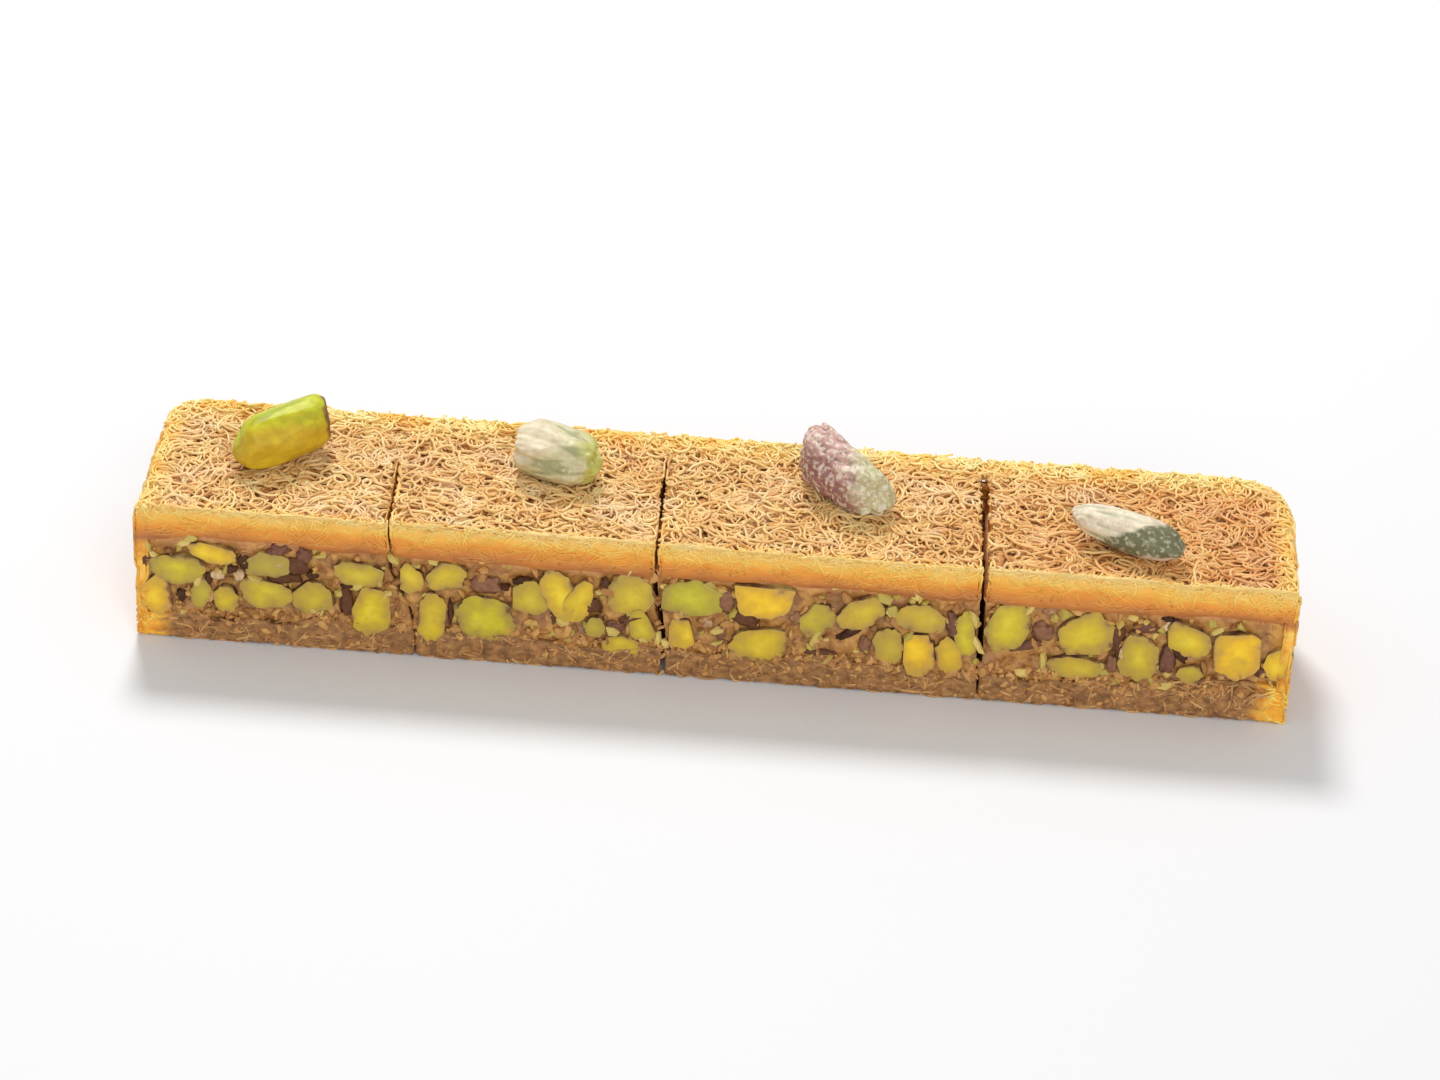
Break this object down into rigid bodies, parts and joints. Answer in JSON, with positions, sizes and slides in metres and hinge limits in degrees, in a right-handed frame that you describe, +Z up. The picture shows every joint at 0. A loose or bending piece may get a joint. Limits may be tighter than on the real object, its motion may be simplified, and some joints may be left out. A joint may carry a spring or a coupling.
{
  "type": "kunafa",
  "caption": "Long baked strip of shredded-dough pastry with a chopped pistachio filling, cut across into slices that stay in line, each topped with a whole kernel.",
  "frame": {"origin": "centre of the bounding box at the flat underside", "axes": "+X along the strip, towards the end with the larger rounded corner; +Y from the knife-cut front to the browned back; +Z up"},
  "size_m": [0.165, 0.031, 0.0316],
  "materials": {
    "top_dough": "baked shredded dough, golden tan, matte with a faint syrup sheen",
    "pistachio_filling": "chopped yellow-green pistachios in brown syrupy crumbs, knife-cut, slightly glossy",
    "base_dough": "brown baked dough soaked with syrup, grainy and matte",
    "pistachio_green": "peeled pistachio kernel, yellow-green, satin",
    "pistachio_pale": "pistachio kernel in its pale grey-green skin, matte",
    "pistachio_mauve": "pistachio kernel in its mauve skin, speckled white, matte",
    "pistachio_dark": "pistachio kernel, dark green flank under a whitish skin, matte"
  },
  "bodies": {
    "root": {"slice_1_base_dough": "base_dough", "slice_1_pistachio_filling": "pistachio_filling", "slice_1_top_dough": "top_dough", "topping_pistachio_1": "pistachio_green", "slice_2_base_dough": "base_dough", "slice_2_pistachio_filling": "pistachio_filling", "slice_2_top_dough": "top_dough", "topping_pistachio_2": "pistachio_pale", "slice_3_base_dough": "base_dough", "slice_3_pistachio_filling": "pistachio_filling", "slice_3_top_dough": "top_dough", "topping_pistachio_3": "pistachio_mauve", "slice_4_base_dough": "base_dough", "slice_4_pistachio_filling": "pistachio_filling", "slice_4_top_dough": "top_dough", "topping_pistachio_4": "pistachio_dark"}
  },
  "joints": []
}
